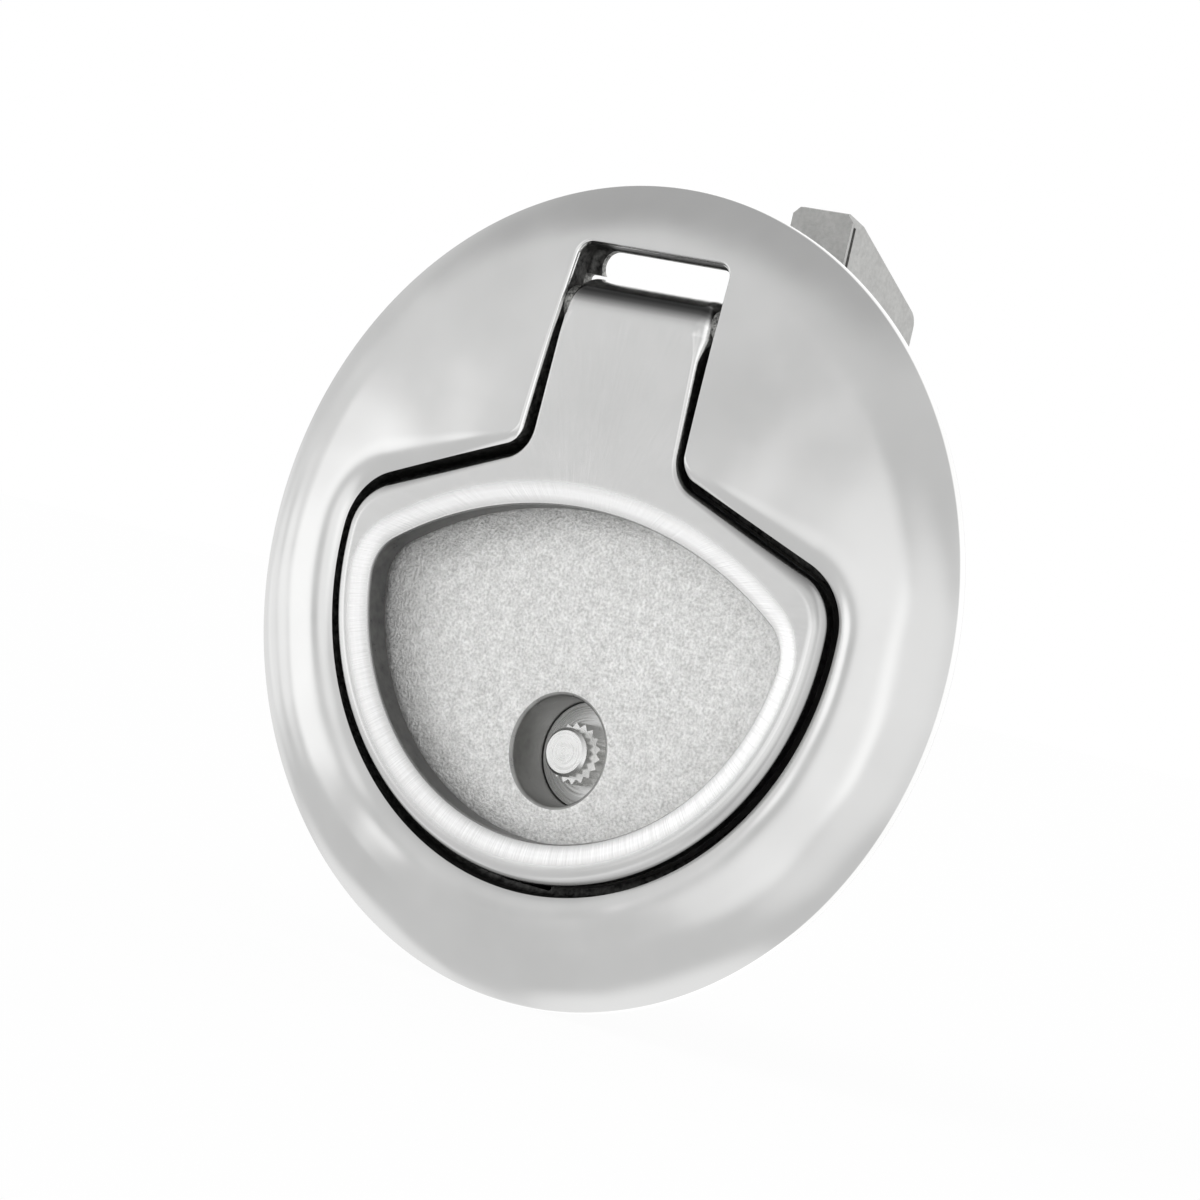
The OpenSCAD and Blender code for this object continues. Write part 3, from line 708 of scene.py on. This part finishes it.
def make_flange():
    polished, blasted, turned, shaded_wall = range(4)
    p, n, soft = plan(GAP, RECESS_TOP, RECESS_TOP_R)
    lip_w = (LIP_SHARP + (LIP_SOFT - LIP_SHARP) * soft)[:, None]
    lip_deep = LIP_SHARP + (LIP_DEEP - LIP_SHARP) * soft
    rows = []
    mats = []

    def row(points, height, mat):
        rows.append(raised(points, height))
        mats.append(mat)

    # the band of floor, the foot and the recess wall get the painted shade
    row(p - n * (SHADED_BAND + SHADED_BAND_MORE * soft)[:, None], FLOOR_H, shaded_wall)
    for t in np.linspace(0, math.pi / 2, FOOT_ROWS):
        row(p - n * FOOT_R * (1 - math.sin(t)), FLOOR_H + FOOT_R * (1 - math.cos(t)), shaded_wall)
    foot_top = FLOOR_H + FOOT_R
    wall_top = dome(p) - lip_deep
    for t in WALL_SHARES:
        row(p, foot_top + (wall_top - foot_top) * t, shaded_wall)
    for t in np.linspace(0, 1, LIP_ROWS):
        q = p + n * lip_w * t
        row(q, dome(q) - lip_deep * (1 - t) ** 3, polished)
    lip = p + n * lip_w
    away = p / np.linalg.norm(p, axis=1)[:, None]
    rim = away * CROWN_R
    for t in np.linspace(0, 1, DOME_ROWS)[1:-1]:
        q = lip + (rim - lip) * t
        row(q, dome(q), polished)
    crown = [(r, front(r)) for r in np.linspace(CROWN_R, CREASE_END, CROWN_ROWS)]
    # radius, height and round of each corner from the rim to the barrel's inside
    corners = [
        (FLANGE_R, RIM_H, RIM_ROUND),
        (FLANGE_R, 0, EDGE_ROUND),
        (SEAL_OUT, 0, 0),
        (SEAL_OUT, SEAL_T, 0),
        (SEAL_IN, SEAL_T, 0),
        (SEAL_IN, 0, 0),
        (BARREL_R, 0, NECK_ROUND),
        (BARREL_R, -BARREL_LEN, BARREL_ROUND),
        (BARREL_IN, -BARREL_LEN, 0),
        (BARREL_IN, FLOOR_BACK, 0),
    ]
    edge = fillet_profile([crown[-1]] + [c[:2] for c in corners], [c[2] for c in corners])
    polished_rows = len(crown) + FILLET_STEPS + 1
    for k, (r, h) in enumerate(crown + edge[1:]):
        row(away * r, h, polished if k < polished_rows else turned)
    shape = Shape()
    shape.loft(rows, mats, (blasted, turned))
    flange = shape.build("flange", [POLISHED, BLASTED, TURNED, GAP_SHADE])
    cut(flange, [
        (hole_cutter(*HINGE_POCKET), ROUGH_WALL),
        (hole_cutter(*TOP_SLOT), ROUGH_WALL),
        # the lever and hook windows get painted shade on their walls
        (hole_cutter(*LEVER_WINDOW), GAP_SHADE),
        (hole_cutter(*HOOK_WINDOW), GAP_SHADE),
        (key_cutter(), BORE),
    ])
    return flange


def make_boss():
    """The tube behind the floor that carries the key spindle, with the key hole's wall."""
    outer = KEY_R + BOSS_WALL
    profile = [(KEY_R, -FLOOR_BACK), (KEY_R, KEY_DEPTH), (SPINDLE_R, KEY_DEPTH), (SPINDLE_R, BOSS_BACK),
               (outer, BOSS_BACK), (outer, -FLOOR_BACK)]
    shape = Shape()
    shape.loft(key_rows(profile), [0] * len(profile), ring=True)
    return shape.build("key_boss", [BORE])


# Handle: a closed loft round ring, shoulders and tongue, with the bend at its top, its lever and its hook

def look_up(value, table):
    """A table's second column at a value of its first."""
    return np.interp(value, *zip(*table))


def add_ring(shape, bright, shaded_wall):
    """Ring, shoulders and tongue. Gives how far each vertex is brushed and painted pale as a highlight,
    and how far it is darkened by painted shade.
    """
    p, n, soft = plan(HANDLE_MORE, BEND_Z, 0.0)
    at = np.arctan2(p[:, 1] - EYE[1], p[:, 0])
    high = np.clip((p[:, 1] - BEND_Z + FLARE_H) / FLARE_H, 0, 1)
    p[:, 0] *= 1 + ((1 - soft) * TONGUE_MORE + high ** 2 * TONGUE_FLARED) / TONGUE_HALF
    brim_w, brim_deep = (t + (r - t) * soft + (e - t) * high ** 2
                         for r, t, e in zip(BRIM_RING, BRIM_TONGUE, BRIM_BEND_END))
    rows = []
    mats = []
    brushed_highlight = []
    painted_shade = []

    # a row's last two values: how far it is painted as a brushed highlight, and how far it is darkened by
    # painted shade
    def row(points, height, mat, brush_highlight=0.0, dark=0.0):
        rows.append(raised(points, height))
        mats.append(mat)
        brushed_highlight.append(np.full(len(p), brush_highlight))
        painted_shade.append(np.broadcast_to(dark, len(p)))

    for t in np.linspace(0, math.pi / 2, BACK_ROWS):
        row(p - n * BACK_R * (1 - math.sin(t)), HANDLE_BACK + BACK_R * (1 - math.cos(t)), shaded_wall)
    row(p, (HANDLE_BACK + BACK_R + HANDLE_H - brim_deep) / 2, bright)
    for t in np.linspace(0, 1, BRIM_ROWS):
        height = HANDLE_H - brim_deep * (1 - t) ** BRIM_BEND
        # painted shade along the brim, beside the gap
        row(p - n * (brim_w * t)[:, None], height, bright, 0.0, soft * look_up(t, BRIM_SHADE_PAINT))
    brim = p - n * brim_w[:, None]
    inner = opening(ROLL_W, at)
    for t in np.linspace(0, 1, FACE_ROWS)[1:]:
        row(brim + (inner - brim) * t, HANDLE_H, bright)
    run = np.linspace(0, ROLL_W, ROLL_ROWS)
    along, slopes, brush_highlights = zip(*ROLL)
    slope = np.tan(np.radians(np.interp(run, along, slopes)))
    drop = np.concatenate([[0], np.cumsum((slope[1:] + slope[:-1]) / 2 * np.diff(run))])
    # the roll gets a pale painted highlight, and painted shade at its inner edge
    for w, d, b in zip(run[1:], drop[1:], np.interp(run, along, brush_highlights)[1:]):
        row(opening(ROLL_W - w, at), HANDLE_H - d, bright, b, look_up(w, EDGE_SHADE_PAINT))
    mats[-1] = shaded_wall
    row(opening(0.0, at), INNER_WALL_H, shaded_wall)
    for t in np.linspace(0, math.pi / 2, BACK_ROWS):
        row(opening(BACK_R * (1 - math.cos(t)), at), HANDLE_BACK + BACK_R * (1 - math.sin(t)), shaded_wall)
    shape.loft(rows, mats, ring=True)
    return np.concatenate(brushed_highlight), np.concatenate(painted_shade)


def add_bend(shape, bright):
    """The tongue's top, bent back round the hinge. Gives how far each vertex is darkened by painted shade.
    """
    over = np.radians(np.linspace(*BEND_OVER))
    under = np.radians(np.linspace(*BEND_UNDER))
    around = np.concatenate([over, under])
    outward = np.stack([np.cos(around), np.sin(around)], 1)
    bent = np.concatenate([(HINGE_H + ROLL_R - BEND_R, BEND_Z) + BEND_R * outward[:len(over)],
                           (HINGE_H, HINGE_Z) + ROLL_R * outward[len(over):]])
    end_w, end_deep = BRIM_BEND_END
    end = [(BEND_HALF - end_w * t, end_deep * (1 - t) ** BRIM_BEND) for t in np.linspace(0, 1, BRIM_ROWS)]
    steps = [(-x, sink) for x, sink in end] + [(0.0, 0.0)] + end[::-1]
    rows = []
    for x, sink in steps:
        q = bent - outward * sink
        rows.append(np.stack([np.full(len(q), x), -q[:, 0], q[:, 1]], 1))
    shape.loft(rows, [bright] * len(rows), (bright, bright))
    # painted shade in a band round the bend, where it faces the dark recess
    return np.tile(look_up(np.degrees(around), BEND_SHADE_PAINT), len(rows))


def add_lever(shape, mat):
    pivot = np.array([-HINGE_H, HINGE_Z])
    tip = pivot + LEVER_LEN * np.array([math.cos(LEVER_A), -math.sin(LEVER_A)])
    side = [pivot + v for v in LEVER_LOW] + [tip - (0, LEVER_TIP_R)]
    for a in np.linspace(-LEVER_TIP_TURN, LEVER_TIP_TURN, TIP_STEPS):
        side.append(tip + LEVER_TIP_R * np.array([math.cos(a), math.sin(a)]))
    side += [tip + (0, LEVER_TIP_R)] + [pivot + v for v in LEVER_HIGH]
    shape.prism(side, -LEVER_HALF, LEVER_HALF, "X", mat)


def make_handle():
    bright, plain, shaded_wall = range(3)
    shape = Shape()
    brushed_highlight, painted_shade = add_ring(shape, bright, shaded_wall)
    painted_shade = np.concatenate([painted_shade, add_bend(shape, bright)])
    add_lever(shape, plain)
    shape.prism(HOOK, -HOOK_HALF, HOOK_HALF, "X", shaded_wall)
    handle = shape.build("handle", [RING_STEEL, POLISHED, RING_SHADED_WALL])
    # vertex values for the painted highlight and the painted shade
    for name, values in (("brushed_highlight", brushed_highlight), ("painted_shade", painted_shade)):
        layer = handle.data.attributes.new(name, "FLOAT", "POINT")
        layer.data.foreach_set("value", np.pad(values, (0, len(shape.verts) - len(values))))
    return handle


flange = make_flange()
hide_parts("flange_body")
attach(flange, "body")
boss = make_boss()
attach(boss, "body")
handle = make_handle()
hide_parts("pull_handle")
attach(handle, "handle")

# Solids that keep their own shape

FINISH = {
    "panel_seal": RUBBER,
    "hinge_pin": ROUGH_WALL,
    "retractor": CAST,
    "bolt": CAST,
    "bolt_spring": TURNED,
    "spring_rod": TURNED,
    "bolt_housing": CAST,
    "housing_gasket": RUBBER,
    "screw_upper_right": TURNED,
    "screw_upper_left": TURNED,
    "screw_lower_left": TURNED,
    "screw_lower_right": TURNED,
    "lock_spindle": POST,
    "spindle_seal": RUBBER,
    "friction_washer": TURNED,
    "lock_cam": CAST,
    "cam_clip": TURNED,
}
for name, material in FINISH.items():
    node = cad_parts[name]
    node.data.materials.clear()
    node.data.materials.append(material)

# Small rounds on their sharp edges

EDGE_WIDTH = {"bolt": 0.12, "retractor": 0.2, "bolt_housing": 0.25, "lock_cam": 0.2}
EDGE_ANGLE = math.radians(40)
EDGE_SEGMENTS = 3
WELD_WITHIN = 0.002
for name, width in EDGE_WIDTH.items():
    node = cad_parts[name]
    weld = node.modifiers.new("weld", "WELD")
    weld.merge_threshold = WELD_WITHIN * MM
    edge = node.modifiers.new("edge", "BEVEL")
    edge.width = width * MM
    edge.segments = EDGE_SEGMENTS
    edge.limit_method = "ANGLE"
    edge.angle_limit = EDGE_ANGLE

# Camera at the photograph's place

AZIMUTH = math.radians(34.18)
ELEVATION = math.radians(0.15)
LEAN = math.radians(13.03)
DISTANCE = 320.8
PIXELS_PER_MM = 12.48
IMAGE = 1200
SHIFT_X = 2.84
SHIFT_Y = -4.34
SENSOR = 36
NEAREST = 10.0


def looking(azimuth, elevation):
    """Direction from the middle to a place, by angles in radians."""
    return Vector((math.sin(azimuth) * math.cos(elevation), -math.cos(azimuth) * math.cos(elevation),
                   math.sin(elevation)))


towards = looking(AZIMUTH, ELEVATION)
right = Vector((math.cos(AZIMUTH), math.sin(AZIMUTH), 0))
up = towards.cross(right)
across = math.cos(LEAN) * right + math.sin(LEAN) * up
upright = math.cos(LEAN) * up - math.sin(LEAN) * right
lens = bpy.data.cameras.new("camera")
lens.sensor_width = SENSOR
lens.lens = PIXELS_PER_MM * DISTANCE / IMAGE * SENSOR
lens.shift_x = SHIFT_X / IMAGE
lens.shift_y = SHIFT_Y / IMAGE
lens.clip_start = NEAREST * MM
camera = bpy.data.objects.new("camera", lens)
axes = [(a, u, t, t * DISTANCE * MM) for a, u, t in zip(across, upright, towards)]
camera.matrix_world = Matrix(axes + [(0, 0, 0, 1)])
bpy.context.scene.collection.objects.link(camera)
bpy.context.scene.camera = camera

# Light: a white studio with darker and brighter parts that the steel mirrors

bpy.context.scene.view_settings.view_transform = "Standard"
world = bpy.data.worlds.new("studio")
bpy.context.scene.world = world
world.use_nodes = True
sky = world.node_tree
sky.nodes.clear()
direction = sky.nodes.new("ShaderNodeTexCoord").outputs["Generated"]

# What the steel mirrors: azimuth, elevation, bright to, faded at, gain
STUDIO = 0.66
PANELS = [
    (146, 0, 78, 97, 0.60),
    (-51, -4, 3, 13, 0.48),
    (-72, -6, 4, 12, 0.36),
    (-92, -7, 4, 13, 0.30),
    (-112, -8, 6, 18, 0.20),
    (-10, -4, 8, 23, 0.34),
    (25, -8, 14, 38, 0.26),
    (-34, -85, 18, 36, 0.30),
    (-105, -42, 10, 24, 0.28),
    (-70, 65, 15, 55, -0.20),
    (-34, 0, 3, 10, -0.03),
]
# What lights matt surfaces: an even room with a lamp on the left
FILL = 0.84
LAMPS = [(-57, 6, 5, 22, 7.0)]


def lobe(azimuth, elevation, inner, outer, gain):
    """Brightness of a soft round panel of light seen in a direction, in degrees."""
    dot = sky.nodes.new("ShaderNodeVectorMath")
    dot.operation = "DOT_PRODUCT"
    sky.links.new(direction, dot.inputs[0])
    dot.inputs[1].default_value = looking(math.radians(azimuth), math.radians(elevation))
    bounds = math.cos(math.radians(outer)), math.cos(math.radians(inner))
    result = ramp(sky, dot.outputs["Value"], 0.0, gain, *bounds)
    result.node.interpolation_type = "SMOOTHERSTEP"
    return result


def studio(level, panels):
    """An even light with soft panels in it."""
    total = level
    for panel in panels:
        total = math_node(sky, "ADD", total, lobe(*panel))
    light = sky.nodes.new("ShaderNodeBackground")
    sky.links.new(total, light.inputs["Color"])
    return light.outputs[0]


def choose(tree, factor, no, yes):
    """One of two shaders, or a mix of them, by a factor."""
    mix = tree.nodes.new("ShaderNodeMixShader")
    for socket, value in zip(mix.inputs, (factor, no, yes)):
        tree.links.new(value, socket)
    return mix.outputs[0]


white = sky.nodes.new("ShaderNodeBackground")
white.inputs["Color"].default_value = (1, 1, 1, 1)
path = sky.nodes.new("ShaderNodeLightPath")
seen = math_node(sky, "MAXIMUM", path.outputs["Is Camera Ray"], path.outputs["Is Transmission Ray"])
unseen = choose(sky, path.outputs["Is Glossy Ray"], studio(FILL, LAMPS), studio(STUDIO, PANELS))
surface = choose(sky, seen, unseen, white.outputs[0])
sky.links.new(surface, sky.nodes.new("ShaderNodeOutputWorld").inputs["Surface"])

# Floor: white to the camera, and it keeps the shadow

FLOOR_Z = -FLANGE_R * MM
FLOOR_HALF = 2.0
FLOOR_WHITE = (0.97, 0.97, 0.97, 1)
FLOOR_ROUGH = 0.9
FLOOR_GLOW = 0.95
floor_mesh = bpy.data.meshes.new("floor")
corners = [(FLOOR_HALF * x, FLOOR_HALF * y, FLOOR_Z) for x, y in ((-1, -1), (1, -1), (1, 1), (-1, 1))]
floor_mesh.from_pydata(corners, [], [(0, 1, 2, 3)])
floor = bpy.data.objects.new("floor", floor_mesh)
floor.visible_glossy = False
bpy.context.scene.collection.objects.link(floor)
paint, floor_tree, floor_shader = node_tree("floor_paint")
floor_shader.inputs["Base Color"].default_value = FLOOR_WHITE
floor_shader.inputs["Roughness"].default_value = FLOOR_ROUGH
glow = floor_tree.nodes.new("ShaderNodeEmission")
to_camera = floor_tree.nodes.new("ShaderNodeLightPath").outputs["Is Camera Ray"]
glowing = math_node(floor_tree, "MULTIPLY", to_camera, FLOOR_GLOW)
surface = choose(floor_tree, glowing, floor_shader.outputs[0], glow.outputs[0])
floor_tree.links.new(surface, floor_tree.nodes["Material Output"].inputs["Surface"])
floor_mesh.materials.append(paint)
